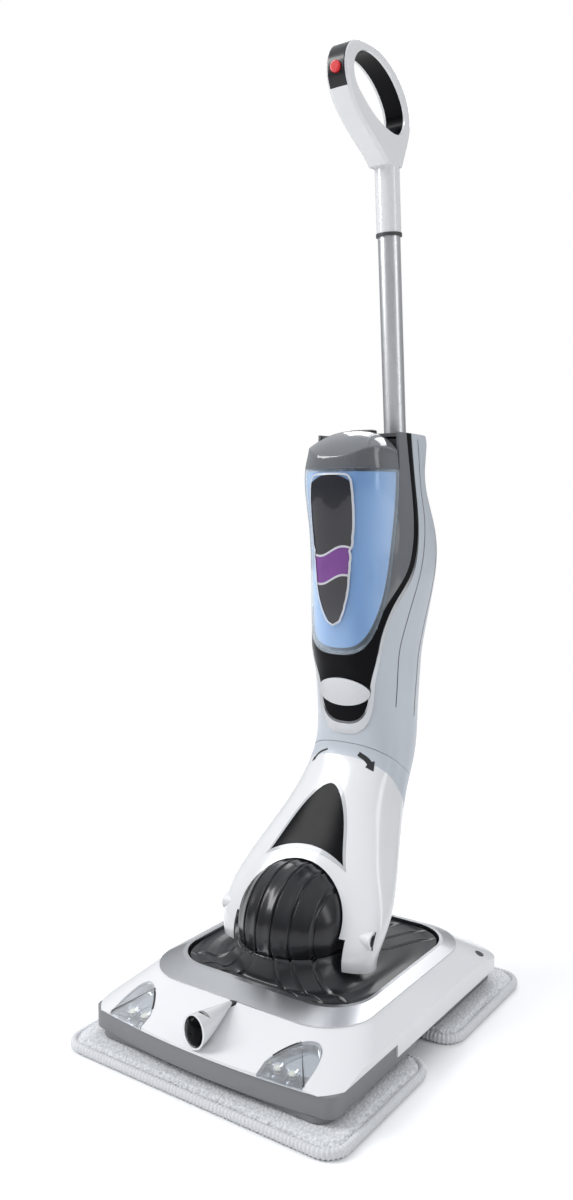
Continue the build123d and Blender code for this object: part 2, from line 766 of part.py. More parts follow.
with BuildPart() as swivel_ring:
    add(rod(along_swivel(6), along_swivel(10), SLEEVE_R + 7, SLEEVE_R))
save(swivel_ring.part, "swivel_ring")

# ---------------------------------------------------------------- upper body

body_solid = column(BODY_SECTIONS)
body_core = column(BODY_SECTIONS, -SHELL_WALL)
shell_slab = side_slab(SHELL_CURVE, -150.0)
tank_slab = side_slab(TANK_CURVE, -150.0)
cradle_slab = side_slab(shifted(TANK_CURVE, TANK_GAP), -150.0)
cradle_back = side_slab(shifted(TANK_CURVE, TANK_GAP + 3, -1), -150.0)
trim_slab = side_slab(shifted(SHELL_CURVE, -TRIM_W / 2, TRIM_W), -150.0)
strip_slab = side_slab(shifted(SHELL_CURVE, -STRIP_W, STRIP_W / 2), -150.0)
below_top = box_at((-200, -200, 0), (200, 400, BODY_TOP))
tube_bore = rod(tuple(tube_plane.origin - tube_dir * (TUBE_DOWN + 10)),
                tuple(tube_plane.origin + tube_dir * 60), TUBE_R + 4.2)

with BuildPart() as rear_shell:
    add(body_solid)
    add(body_core, mode=Mode.SUBTRACT)
    add(shell_slab, mode=Mode.SUBTRACT)
    add(above_swivel, mode=Mode.INTERSECT)
    add(below_top, mode=Mode.INTERSECT)
    add(rod((0, 180, INLET_Z), (0, 300, INLET_Z), 8.2), mode=Mode.SUBTRACT)
save(rear_shell.part, "rear_shell")

with BuildPart() as chrome_trim:
    add(column(BODY_SECTIONS, TRIM_PROUD))
    add(body_core, mode=Mode.SUBTRACT)
    add(shell_slab, mode=Mode.INTERSECT)
    add(trim_slab, mode=Mode.SUBTRACT)
    add(above_swivel, mode=Mode.INTERSECT)
    add(below_top, mode=Mode.INTERSECT)
save(chrome_trim.part, "chrome_trim")

window_zone = box_at((-200, 0, WINDOW_BOTTOM), (200, 300, BODY_TOP))

with BuildPart() as front_panel:
    add(body_solid)
    add(body_core, mode=Mode.SUBTRACT)
    add(trim_slab, mode=Mode.INTERSECT)
    add(cradle_slab, mode=Mode.SUBTRACT)
    add(strip_slab & window_zone, mode=Mode.SUBTRACT)
    add(below_top, mode=Mode.INTERSECT)
    add(above_swivel, mode=Mode.INTERSECT)
save(front_panel.part, "front_panel")

with BuildPart() as side_windows:
    add(body_solid)
    add(body_core, mode=Mode.SUBTRACT)
    add(strip_slab, mode=Mode.INTERSECT)
    add(cradle_slab, mode=Mode.SUBTRACT)
    add(window_zone, mode=Mode.INTERSECT)
save(side_windows.part, "side_windows")

with BuildPart() as oval_badge:
    with BuildSketch(Plane(origin=(0, 110, 0), x_dir=(1, 0, 0), z_dir=(0, -1, 0))):
        with Locations((0, OVAL_Z)):
            Ellipse(36, 17)
    extrude(amount=200)
    add(column(BODY_SECTIONS, 2.4), mode=Mode.INTERSECT)
    add(body_solid, mode=Mode.SUBTRACT)
    add(half_space(Plane.XZ.offset(-100), above=False), mode=Mode.SUBTRACT)
    add(chrome_trim.part, mode=Mode.SUBTRACT)
save(largest(oval_badge.part), "oval_badge")

with BuildPart() as swivel_floor:
    add(column(BODY_SECTIONS, -SHELL_WALL - 0.1))
    add(floor_slab, mode=Mode.INTERSECT)
    add(rod(along_swivel(-12), along_swivel(18), SLEEVE_R + 0.06), mode=Mode.SUBTRACT)
save(swivel_floor.part, "swivel_floor")

with BuildPart() as tank_cradle:
    add(column(BODY_SECTIONS, -SHELL_WALL - 0.1))
    add(cradle_back, mode=Mode.INTERSECT)
    add(cradle_slab, mode=Mode.SUBTRACT)
    add(box_at((-200, 0, 420), (200, 300, BODY_TOP - 8)), mode=Mode.INTERSECT)
    add(rod((0, 90, CAP_Z), (0, 130, CAP_Z), CAP_R + 4), mode=Mode.SUBTRACT)
    add(rod((0, 84, VALVE_Z), (0, 104, VALVE_Z), 11))
    add(rod((0, 60, VALVE_Z), (0, 101, VALVE_Z), 7.4), mode=Mode.SUBTRACT)
    add(tank_slab, mode=Mode.SUBTRACT)
    add(box_at((-17, 109, 652), (17, 128, 655)))
save(tank_cradle.part, "tank_cradle")

with BuildPart() as tube_socket:
    socket_low = tuple(tube_plane.origin - tube_dir * (TUBE_DOWN + 4))
    socket_high = tuple(tube_plane.origin - tube_dir * 15)
    add(rod(socket_low, socket_high, TUBE_R + 3.8, TUBE_R + 0.05))
    add(rod(socket_low, tuple(tube_plane.origin - tube_dir * TUBE_DOWN), TUBE_R + 3.8))
save(tube_socket.part, "tube_socket")

with BuildPart() as top_bridge:
    add(column(BODY_SECTIONS, -SHELL_WALL - 0.1))
    add(side_slab(shifted(TANK_CURVE, 2.0), -150.0), mode=Mode.SUBTRACT)
    add(box_at((-200, 0, BODY_TOP - 5), (200, 300, BODY_TOP - 1)), mode=Mode.INTERSECT)
    add(rod(tuple(tube_plane.origin - tube_dir * 60), tuple(tube_plane.origin + tube_dir * 60),
            TUBE_R + 0.05), mode=Mode.SUBTRACT)
    add(box_at((-15.5, 113.5, 600), (15.5, 127.5, 700)), mode=Mode.SUBTRACT)
save(top_bridge.part, "top_bridge")

with BuildPart() as tank_latch:
    add(box_at((-15, 114, 666), (15, 127, BODY_TOP + 5)))
    fillet(tank_latch.edges().group_by(Axis.Z)[-1], 2)
save(tank_latch.part, "tank_latch")

with BuildPart() as pump:
    add(rod((0, 150, 372), (0, 150, 412), 22))
    add(box_at((-18, 128, 340), (18, 172, 372)))
save(pump.part, "pump")

with BuildPart() as control_board:
    add(box_at((-28, 190, 430), (28, 192, 520)))
    add(box_at((-20, 182, 445), (-4, 190, 462)))
    add(box_at((4, 184, 480), (20, 190, 500)))
save(control_board.part, "control_board")

with BuildPart() as cord_inlet:
    add(rod((0, 229, INLET_Z), (0, 262, INLET_Z), 8))
    add(rod((0, 220, INLET_Z), (0, 280, INLET_Z), 4), mode=Mode.SUBTRACT)
    add(column(BODY_SECTIONS, 2), mode=Mode.INTERSECT)
save(cord_inlet.part, "cord_inlet")

# ---------------------------------------------------------------- tank

TOP_CURVE = ((38, 640), (58, 668), (84, 684), (112, 686))
with BuildPart() as under_top:
    with BuildSketch(Plane.YZ):
        with BuildLine():
            Spline(*TOP_CURVE)
            Polyline(TOP_CURVE[-1], (112, 380), (38, 380), TOP_CURVE[0])
        make_face()
    extrude(amount=120, both=True)
with BuildPart() as under_top_core:
    with BuildSketch(Plane.YZ):
        with BuildLine():
            Spline(*shifted(TOP_CURVE, 1.5, -TANK_WALL))
            Polyline((113.5, 683.5), (113.5, 380), (39.5, 380), (39.5, 637.5))
        make_face()
    extrude(amount=120, both=True)
tank_core = column(BODY_SECTIONS, -TANK_WALL) & side_slab(shifted(TANK_CURVE, -2.5, 2), -150.0)
tank_core = tank_core & under_top_core.part
above_liquid = box_at((-200, -200, LIQUID_TOP), (200, 400, 800))
dip_outer = rod((0, DIP_Y, 575), (0, DIP_Y, 690), DIP_R)
valve_rod = rod((0, 66, VALVE_Z), (0, 97, VALVE_Z), 7)

with BuildPart() as tank_shell:
    add(body_solid)
    add(tank_slab, mode=Mode.INTERSECT)
    add(under_top.part, mode=Mode.INTERSECT)
    add(tank_core, mode=Mode.SUBTRACT)
    add(above_liquid, mode=Mode.SUBTRACT)
    add(rod((0, 90, CAP_Z), (0, 120, CAP_Z), CAP_R - 4), mode=Mode.SUBTRACT)
    add(valve_rod, mode=Mode.SUBTRACT)
save(tank_shell.part, "tank_shell")

with BuildPart() as tank_top:
    add(body_solid)
    add(tank_slab, mode=Mode.INTERSECT)
    add(under_top.part, mode=Mode.INTERSECT)
    add(tank_core, mode=Mode.SUBTRACT)
    add(above_liquid, mode=Mode.INTERSECT)
save(tank_top.part, "tank_top")

with BuildPart() as dip_tube:
    add(dip_outer)
    add(rod((0, DIP_Y, 570), (0, DIP_Y, 695), DIP_R - 1.5), mode=Mode.SUBTRACT)
    add(tank_core, mode=Mode.INTERSECT)
save(dip_tube.part, "dip_tube")

with BuildPart() as tank_liquid:
    add(column(BODY_SECTIONS, -TANK_WALL - 0.3))
    add(side_slab(shifted(TANK_CURVE, -3.0, 2.3), -150.0), mode=Mode.INTERSECT)
    add(above_liquid.translate((0, 0, -3)), mode=Mode.SUBTRACT)
    add(rod((0, DIP_Y, 574), (0, DIP_Y, 690), DIP_R + 0.3), mode=Mode.SUBTRACT)
    add(rod((0, 60, VALVE_Z), (0, 100, VALVE_Z), 7.3), mode=Mode.SUBTRACT)
    add(rod((0, 80, CAP_Z), (0, 120, CAP_Z), CAP_R - 3), mode=Mode.SUBTRACT)
save(tank_liquid.part, "tank_liquid")

with BuildPart() as tank_valve:
    add(valve_rod)
    add(rod((0, 60, VALVE_Z), (0, 100, VALVE_Z), 3), mode=Mode.SUBTRACT)
save(tank_valve.part, "tank_valve")

with BuildPart() as fill_cap:
    add(rod((0, 107, CAP_Z), (0, 113, CAP_Z), CAP_R))
    add(rod((0, 98, CAP_Z), (0, 108, CAP_Z), CAP_R - 4.3))
save(fill_cap.part, "fill_cap")

label_outline = (
    (-LABEL_HALF * 0.94, LABEL_TOP - 10),
    (-LABEL_HALF, 590),
    (-LABEL_HALF * 0.8, 525),
    (-LABEL_HALF * 0.45, 474),
    (0, LABEL_TIP),
    (LABEL_HALF * 0.45, 474),
    (LABEL_HALF * 0.8, 525),
    (LABEL_HALF, 590),
    (LABEL_HALF * 0.94, LABEL_TOP - 10),
)
with BuildPart() as tank_label:
    with BuildSketch(Plane(origin=(0, 90, 0), x_dir=(1, 0, 0), z_dir=(0, -1, 0))):
        with BuildLine():
            Spline(*label_outline)
            ThreePointArc(label_outline[-1], (0, LABEL_TOP), label_outline[0])
        make_face()
    extrude(amount=200)
    add(column(BODY_SECTIONS, 0.5), mode=Mode.INTERSECT)
    add(body_solid, mode=Mode.SUBTRACT)
save(tank_label.part, "tank_label")

# ---------------------------------------------------------------- tube and handle


def along_tube(distance):
    """A point on the tube's axis, above the body's top."""
    return tuple(tube_plane.origin + tube_dir * distance)


with BuildPart() as handle_tube:
    add(rod(along_tube(-TUBE_DOWN), along_tube(TUBE_UP), TUBE_R, TUBE_R - TUBE_WALL))
save(handle_tube.part, "handle_tube")

with BuildPart() as collar_ring:
    add(rod(along_tube(STEM_START - 4), along_tube(STEM_START), STEM_R + 0.9, TUBE_R + 0.05))
save(collar_ring.part, "collar_ring")

def toward_middle(points, distance):
    """Outline points moved straight towards the loop's middle, or away where negative."""
    moved = []
    for y, z in points:
        away = hypot(LOOP_MIDDLE[0] - y, LOOP_MIDDLE[1] - z)
        moved.append((y + distance * (LOOP_MIDDLE[0] - y) / away,
                      z + distance * (LOOP_MIDDLE[1] - z) / away))
    return moved


with BuildPart() as loop_blank:
    with BuildSketch(Plane.YZ):
        with BuildLine():
            Spline(*LOOP_OUTER)
            Line(LOOP_OUTER[-1], LOOP_OUTER[0])
        make_face()
    extrude(amount=LOOP_HALF, both=True)
    fillet(loop_blank.edges().filter_by(GeomType.BSPLINE), 5)
with BuildPart() as hole_blank:
    with BuildSketch(Plane.YZ):
        with BuildLine():
            Spline(*LOOP_HOLE, periodic=True)
        make_face()
    extrude(amount=LOOP_HALF + 5, both=True)
with BuildPart() as grip_blank:
    with BuildSketch(Plane.YZ):
        with BuildLine():
            Spline(*toward_middle(LOOP_HOLE, -GRIP_DEPTH), periodic=True)
        make_face()
    extrude(amount=LOOP_HALF - 3, both=True)
    add(hole_blank.part, mode=Mode.SUBTRACT)
    add(side_slab(((70, 1150), (96, 1110), (150, 1062), (162, 1030)), 0.0), mode=Mode.SUBTRACT)
inlay_inner = toward_middle(LOOP_OUTER, INLAY_DEPTH)
with BuildPart() as inlay_core:
    with BuildSketch(Plane.YZ):
        with BuildLine():
            Spline(*inlay_inner)
            Line(inlay_inner[-1], inlay_inner[0])
        make_face()
    extrude(amount=LOOP_HALF + 5, both=True)
inlay_blank = (loop_blank.part & box_at((-11.5, 0, 1070), (11.5, 92, 1200))) - inlay_core.part

button_axis = ((0, 40, BUTTON_Z), (0, 70, BUTTON_Z))
with BuildPart() as handle_shell:
    add(loop_blank.part)
    add(hole_blank.part, mode=Mode.SUBTRACT)
    stem_start = along_tube(STEM_START)
    add(rod(stem_start, along_tube(STEM_START + 96), STEM_R))
    add(hole_blank.part, mode=Mode.SUBTRACT)
    add(rod(stem_start, along_tube(TUBE_UP + 0.5), TUBE_R + 0.05), mode=Mode.SUBTRACT)
    add(grip_blank.part, mode=Mode.SUBTRACT)
    add(inlay_blank, mode=Mode.SUBTRACT)
    add(rod((0, 50, BUTTON_Z), (0, 66, BUTTON_Z), 7), mode=Mode.SUBTRACT)
save(handle_shell.part, "handle_shell")

with BuildPart() as grip_inlay:
    add(grip_blank.part)
save(grip_inlay.part, "grip_inlay")

with BuildPart() as front_inlay:
    add(inlay_blank)
    add(rod(*button_axis, 7), mode=Mode.SUBTRACT)
save(front_inlay.part, "front_inlay")

with BuildPart() as power_button:
    add(rod((0, 51.2, BUTTON_Z), (0, 60, BUTTON_Z), 6.6))
    fillet(power_button.edges().group_by(Axis.Y)[0], 1.5)
save(power_button.part, "power_button")

with BuildPart() as micro_switch:
    add(rod((0, 62, BUTTON_Z), (0, 66, BUTTON_Z), 6.5))
save(micro_switch.part, "micro_switch")
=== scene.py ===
"""Looks for the upright steam mop: materials, cloth pads, ribbed parts, graphics, light and camera."""

import json
import math

import bpy
from mathutils import Euler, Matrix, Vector, noise
from mathutils.bvhtree import BVHTree


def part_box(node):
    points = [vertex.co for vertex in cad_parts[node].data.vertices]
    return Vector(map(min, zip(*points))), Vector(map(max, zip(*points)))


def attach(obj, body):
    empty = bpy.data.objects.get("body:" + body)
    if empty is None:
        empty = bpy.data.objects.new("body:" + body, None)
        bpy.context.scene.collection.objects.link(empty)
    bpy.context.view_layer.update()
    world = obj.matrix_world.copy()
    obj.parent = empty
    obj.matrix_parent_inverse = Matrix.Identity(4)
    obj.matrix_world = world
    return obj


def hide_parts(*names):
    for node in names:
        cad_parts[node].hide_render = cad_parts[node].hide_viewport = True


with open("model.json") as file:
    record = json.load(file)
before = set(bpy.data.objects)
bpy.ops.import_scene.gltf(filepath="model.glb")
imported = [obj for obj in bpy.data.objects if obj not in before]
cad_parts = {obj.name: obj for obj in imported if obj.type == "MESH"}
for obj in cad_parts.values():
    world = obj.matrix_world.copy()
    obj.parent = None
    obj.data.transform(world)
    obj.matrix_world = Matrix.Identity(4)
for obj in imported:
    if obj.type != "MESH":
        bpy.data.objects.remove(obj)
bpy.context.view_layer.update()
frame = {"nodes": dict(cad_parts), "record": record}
for imported in list(bpy.data.materials):
    bpy.data.materials.remove(imported)

# ---------------------------------------------------------------- node helpers

COAT_ROUGH = 0.04


class Shader:
    """One node material: a Principled shader plus small helpers that build its inputs."""

    def __init__(self, name, colour, rough, metal=0.0, coat=0.0):
        self.material = bpy.data.materials.new(name)
        self.material.use_nodes = True
        self.tree = self.material.node_tree
        self.main = self.tree.nodes["Principled BSDF"]
        self.colour = colour
        settings = {"Base Color": (*colour, 1), "Roughness": rough, "Metallic": metal,
                    "Coat Weight": coat, "Coat Roughness": COAT_ROUGH}
        for key, value in settings.items():
            self.main.inputs[key].default_value = value
        self.place = self.tree.nodes.new("ShaderNodeNewGeometry").outputs["Position"]

    def node(self, kind, **inputs):
        made = self.tree.nodes.new(kind)
        for key, value in inputs.items():
            socket = made.inputs[key.replace("_", " ")]
            if isinstance(value, bpy.types.NodeSocket):
                self.tree.links.new(value, socket)
            else:
                socket.default_value = value
        return made

    def link(self, source, socket):
        self.tree.links.new(source, socket)

    def math(self, operation, first, second=0.0, third=0.0):
        made = self.tree.nodes.new("ShaderNodeMath")
        made.operation = operation
        for index, value in enumerate((first, second, third)):
            if isinstance(value, bpy.types.NodeSocket):
                self.tree.links.new(value, made.inputs[index])
            else:
                made.inputs[index].default_value = value
        return made.outputs[0]

    def axis(self, name):
        return self.node("ShaderNodeSeparateXYZ", Vector=self.place).outputs[name]

    def stretched(self, scale):
        made = self.node("ShaderNodeMapping", Vector=self.place)
        made.inputs["Scale"].default_value = scale
        return made.outputs["Vector"]

    def noise(self, scale, detail=3.0, vector=None):
        made = self.node("ShaderNodeTexNoise", Scale=scale, Detail=detail)
        self.link(vector or self.place, made.inputs["Vector"])
        return made.outputs["Fac"]

    def spread(self, value, low, high, steps=None):
        """Maps value from 0..1, or from steps, to low..high."""
        made = self.tree.nodes.new("ShaderNodeMapRange")
        self.link(value, made.inputs["Value"])
        if steps:
            made.inputs["From Min"].default_value = steps[0]
            made.inputs["From Max"].default_value = steps[1]
        made.inputs["To Min"].default_value = low
        made.inputs["To Max"].default_value = high
        return made.outputs["Result"]

    def mix(self, factor, first, second):
        made = self.tree.nodes.new("ShaderNodeMix")
        made.data_type = "RGBA"
        for socket, value in zip((made.inputs[0], *made.inputs[6:8]), (factor, first, second)):
            if isinstance(value, bpy.types.NodeSocket):
                self.link(value, socket)
            else:
                socket.default_value = (*value, 1)
        return made.outputs[2]

    def bump(self, height, distance, strength=1.0):
        made = self.node("ShaderNodeBump", Height=height, Strength=strength, Distance=distance)
        self.link(made.outputs["Normal"], self.main.inputs["Normal"])

    def tint(self, amount, scale):
        """Varies the base colour slightly over the surface."""
        darker = tuple(c * (1 - amount) for c in self.colour)
        self.link(self.mix(self.noise(scale), darker, self.colour), self.main.inputs["Base Color"])

    def vary_rough(self, low, high, scale):
        self.link(self.spread(self.noise(scale), low, high), self.main.inputs["Roughness"])

    def show_mix(self, factor, first, second):
        """Makes the surface a blend of two shaders."""
        blend = self.tree.nodes.new("ShaderNodeMixShader")
        for socket, value in zip(blend.inputs, (factor, first, second)):
            self.link(value, socket)
        self.link(blend.outputs[0], self.tree.nodes["Material Output"].inputs["Surface"])


def gloss_plastic(name, colour, rough, coat=0.6, specular=0.5):
    """Moulded plastic with a polished skin: faint flow waves and a slightly uneven polish."""
    shader = Shader(name, colour, rough, coat=coat)
    shader.main.inputs["Specular IOR Level"].default_value = specular
    shader.tint(amount=0.012, scale=9.0)
    shader.vary_rough(low=rough * 0.85, high=rough * 1.2, scale=35.0)
    shader.bump(shader.noise(scale=700.0, detail=2.0), distance=0.000016, strength=0.15)
    return shader.material


def matte_plastic(name, colour, rough=0.55):
    """Moulded plastic with a fine spark-eroded grain."""
    shader = Shader(name, colour, rough)
    shader.tint(amount=0.10, scale=30.0)
    shader.vary_rough(low=rough - 0.1, high=rough + 0.1, scale=140.0)
    grain = shader.node("ShaderNodeTexVoronoi", Scale=1400.0, Vector=shader.place)
    shader.bump(grain.outputs["Distance"], distance=0.00012, strength=0.5)
    return shader.material


def brushed_metal(name, colour, scale, rough=0.3):
    """Metal with fine scratches; scale stretches them along the brushed direction."""
    shader = Shader(name, colour, rough, metal=1.0)
    streak = shader.noise(scale=1.0, detail=4.0, vector=shader.stretched(scale))
    darker = tuple(c * 0.82 for c in colour)
    shader.link(shader.mix(streak, darker, colour), shader.main.inputs["Base Color"])
    shader.link(shader.spread(streak, rough - 0.08, rough + 0.12), shader.main.inputs["Roughness"])
    shader.bump(streak, distance=0.00003, strength=0.6)
    return shader.material


def plated(name, colour, rough):
    """Bright plating with a slightly uneven polish."""
    shader = Shader(name, colour, rough, metal=1.0)
    shader.vary_rough(low=rough * 0.6, high=rough * 1.8, scale=50.0)
    shader.bump(shader.noise(scale=90.0), distance=0.00002, strength=0.3)
    return shader.material


def clear(name, colour, body, rough=0.05):
    """See-through plastic or liquid; body is how much of it shows where it is seen face on."""
    shader = Shader(name, colour, rough, coat=1.0)
    shader.vary_rough(low=rough * 0.6, high=rough * 1.6, scale=40.0)
    pale_tint = tuple(0.35 + 0.65 * c for c in colour)
    through = shader.node("ShaderNodeBsdfTransparent", Color=(*pale_tint, 1))
    rim = shader.node("ShaderNodeLayerWeight", Blend=0.35)
    cover = shader.spread(rim.outputs["Facing"], body, min(1.0, body + 0.6))
    shader.show_mix(cover, through.outputs[0], shader.main.outputs[0])
    return shader.material


def microfibre(name, colour):
    """Looped microfibre: small twisted loops in rows, soft sheen, and painted shade that greys the hollows
    between the loops.
    """
    shader = Shader(name, colour, 0.9)
    shader.main.inputs["Sheen Weight"].default_value = 0.5
    shader.main.inputs["Sheen Roughness"].default_value = 0.5
    rows = shader.stretched((1.0, 0.62, 1.0))
    loops = shader.node("ShaderNodeTexVoronoi", Scale=420.0, Vector=rows).outputs["Distance"]
    fluff = shader.math("MULTIPLY", shader.noise(scale=900.0, detail=5.0), 0.5)
    depth = shader.math("MULTIPLY_ADD", loops, -0.8, fluff)
    # painted shade: the base colour darkens between the loops, where the bump sinks
    shade = shader.spread(loops, 1.0, 0.0, (0.15, 0.75))
    dim = tuple(c * 0.72 for c in colour)
    shader.link(shader.mix(shade, dim, colour), shader.main.inputs["Base Color"])
    shader.bump(depth, distance=0.0012, strength=0.8)
    return shader.material


def knit(name, colour):
    """Knitted tape with a fine, uneven weave."""
    shader = Shader(name, colour, 0.85)
    shader.main.inputs["Sheen Weight"].default_value = 0.3
    weave = shader.noise(scale=1100.0)
    dim = tuple(c * 0.8 for c in colour)
    shader.link(shader.mix(weave, dim, colour), shader.main.inputs["Base Color"])
    shader.bump(weave, distance=0.0005, strength=0.6)
    return shader.material


BAND_LEVEL = 0.40
BAND_REACH = 0.018
BAND_SHARE = 0.86
WAVE_HEIGHT = 0.006
WAVE_TURNS = 95.0


def label_film(name, middle, reach):
    """Dark printed film with a wavy purple band, edged in silver, round a height."""
    shader = Shader(name, (0.05, 0.05, 0.07), 0.22, coat=0.7)
    phase = shader.math("MULTIPLY", shader.axis("X"), WAVE_TURNS)
    sway = shader.math("MULTIPLY", shader.math("SINE", phase), WAVE_HEIGHT)
    height = shader.math("SUBTRACT", shader.math("SUBTRACT", shader.axis("Z"), middle), sway)
    away = shader.math("DIVIDE", shader.math("ABSOLUTE", height), reach)
    band = shader.math("LESS_THAN", away, BAND_SHARE)
    edge = shader.math("LESS_THAN", away, 1.0)
    purple = shader.mix(shader.noise(scale=40.0), (0.10, 0.012, 0.16), (0.17, 0.03, 0.26))
    silver = shader.mix(edge, (0.012, 0.012, 0.018), (0.5, 0.5, 0.55))
    shader.link(shader.mix(band, silver, purple), shader.main.inputs["Base Color"])
    shader.bump(shader.noise(scale=80.0), distance=0.00002, strength=0.3)
    return shader.material


WHITE = gloss_plastic("white_gloss", (0.70, 0.705, 0.72), 0.2)
PEARL = gloss_plastic("pearl", (0.47, 0.505, 0.55), 0.38, 0.12)
BLACK = gloss_plastic("black_gloss", (0.002, 0.002, 0.003), 0.22, 0.0, specular=0.08)
CHARCOAL = gloss_plastic("charcoal_gloss", (0.010, 0.010, 0.012), 0.24, 0.15, specular=0.4)
SMOKE = gloss_plastic("smoked_grey", (0.014, 0.015, 0.017), 0.28, 0.1, specular=0.4)
DARK = matte_plastic("dark_plastic", (0.05, 0.05, 0.055))
GREY = matte_plastic("grey_plastic", (0.20, 0.205, 0.215), 0.45)
BADGE_GREY = gloss_plastic("badge_grey", (0.42, 0.43, 0.45), 0.3)
NYLON = matte_plastic("bush", (0.72, 0.725, 0.735), 0.4)
RUBBER = matte_plastic("hose", (0.045, 0.045, 0.048), 0.7)
BOARD = matte_plastic("board", (0.03, 0.16, 0.07), 0.4)
RED = gloss_plastic("red_button", (0.62, 0.015, 0.02), 0.2)
CAP = matte_plastic("cap_plastic", (0.20, 0.22, 0.26))
RING_SILVER = brushed_metal("silver_ring", (0.58, 0.59, 0.61), (900.0, 900.0, 900.0), 0.3)
TUBE_METAL = brushed_metal("brushed_aluminium", (0.74, 0.75, 0.77), (1500.0, 1500.0, 12.0), 0.36)
STEEL = brushed_metal("steel", (0.52, 0.52, 0.54), (600.0, 600.0, 30.0), 0.34)
CHROME = plated("chrome", (0.50, 0.51, 0.53), 0.13)
LENS = clear("clear_lens", (0.93, 0.95, 0.97), 0.01)
BULB = clear("bulb_glass", (0.97, 0.95, 0.80), 0.5, 0.1)
TANK_CLEAR = clear("clear_tank", (0.80, 0.88, 0.96), 0.05)
TUBE_CLEAR = clear("clear_tube", (0.90, 0.95, 0.98), 0.25)
SMOKE_CLEAR = clear("smoked_clear", (0.24, 0.25, 0.27), 0.42)
LIQUID = clear("blue_liquid", (0.42, 0.68, 0.98), 0.72, 0.12)
FABRIC = microfibre("microfibre", (0.78, 0.795, 0.82))
HOOKS = knit("hook_strip", (0.03, 0.03, 0.035))

label_low, label_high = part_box("tank_label")
LABEL = label_film("label", label_low.z + BAND_LEVEL * (label_high.z - label_low.z), BAND_REACH)

BY_SLOT = {m.name: m for m in (
    WHITE, PEARL, BLACK, CHARCOAL, SMOKE, DARK, GREY, BADGE_GREY, NYLON, RUBBER, BOARD, RED, CAP,
    RING_SILVER, TUBE_METAL, STEEL, CHROME, LENS, BULB, TANK_CLEAR, TUBE_CLEAR, SMOKE_CLEAR, LIQUID,
    FABRIC, HOOKS, LABEL)}
slot_of = {s["node"]: s["material_slot"] for s in frame["record"]["subparts"]}

for node, thing in frame["nodes"].items():
    thing.data.materials.clear()
    thing.data.materials.append(BY_SLOT[slot_of[node]])

# ---------------------------------------------------------------- mesh helpers


def placed(name, data):
    """A new object in the scene."""
    thing = bpy.data.objects.new(name, data)
    bpy.context.scene.collection.objects.link(thing)
    return thing


def dress(piece, material, body):
    """Gives a finished piece its smooth shading and material, and rides it on a body."""
    for face in piece.data.polygons:
        face.use_smooth = True
    piece.data.materials.clear()
    piece.data.materials.append(material)
    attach(piece, body)


def new_mesh(name, vertices, faces, material, body):
    """Makes a piece from its points and faces, and rides it on a body."""
    mesh = bpy.data.meshes.new(name)
    mesh.from_pydata([tuple(v) for v in vertices], [], faces)
    mesh.validate()
    piece = placed(name, mesh)
    dress(piece, material, body)
    return piece


def grid_faces(rows, columns, closed=False):
    """Quads between rows of points, each row closed into a loop or open."""
    faces = []
    last = columns if closed else columns - 1
    for r in range(rows - 1):
        near, far = r * columns, (r + 1) * columns
        for c in range(last):
            d = (c + 1) % columns
            faces.append((near + c, near + d, far + d, far + c))
    return faces


def bake(piece):
    """Replaces the piece's mesh by what its modifiers make of it."""
    bpy.context.view_layer.update()
    made = bpy.data.meshes.new_from_object(piece.evaluated_get(bpy.context.evaluated_depsgraph_get()))
    piece.modifiers.clear()
    piece.data = made


def even_copy(node, name, voxel, mesh=None):
    """A copy of a CAD node's mesh, or of a changed one, with small even faces."""
    piece = placed(name, mesh or frame["nodes"][node].data.copy())
    remesh = piece.modifiers.new("remesh", "REMESH")
    remesh.mode = "VOXEL"
    remesh.voxel_size = voxel
    bake(piece)
    return piece


def keep_between(spot, low, high):
    """Moves a point that is outside a box to the box's surface."""
    for axis in range(3):
        spot[axis] = min(max(spot[axis], low[axis]), high[axis])


def tree_of(*nodes):
    """A search tree over CAD nodes' surfaces, in the row frame."""
    vertices, faces = [], []
    for node in nodes:
        mesh = frame["nodes"][node].data
        start = len(vertices)
        vertices += [v.co.copy() for v in mesh.vertices]
        faces += [[start + i for i in p.vertices] for p in mesh.polygons]
    return BVHTree.FromPolygons(vertices, faces)


def drop_on(tree, start, direction, lift):
    """The point where a ray first meets a surface, lifted off it, or None."""
    hit, normal, _, _ = tree.ray_cast(Vector(start), Vector(direction).normalized())
    if hit is None:
        return None
    if normal.dot(Vector(direction)) > 0:
        normal = -normal
    return hit + normal * lift


def ribbon(name, tree, spots, direction, width, material, body, lift=0.00025, steps=5):
    """A thin line along spots, thrown onto a surface, used for print, gaskets and painted seam shade; width
    may be a function of 0..1.
    """
    vertices = []
    last = len(spots) - 1
    for i, spot in enumerate(spots):
        along = (Vector(spots[min(last, i + 1)]) - Vector(spots[max(0, i - 1)])).normalized()
        across = along.cross(Vector(direction)).normalized()
        wide = width(i / last) if callable(width) else width
        starts = [Vector(spot) + across * wide * (s / (steps - 1) - 0.5) for s in range(steps)]
        row = [drop_on(tree, start, direction, lift) for start in starts]
        if None not in row:
            vertices.extend(row)
    new_mesh(name, vertices, grid_faces(len(vertices) // steps, steps), material, body)


def smooth_path(points, count):
    """Points along a Catmull-Rom curve through the given ones."""
    points = [Vector(p) for p in points]
    ends = [2 * points[0] - points[1], *points, 2 * points[-1] - points[-2]]
    spans = len(points) - 1
    path = []
    for i in range(count):
        t = i / (count - 1) * spans
        k = min(int(t), spans - 1)
        f = t - k
        a, b, c, d = ends[k:k + 4]
        path.append(0.5 * (2 * b + (c - a) * f + (2 * a - 5 * b + 4 * c - d) * f * f
                           + (3 * b - a - 3 * c + d) * f ** 3))
    return path


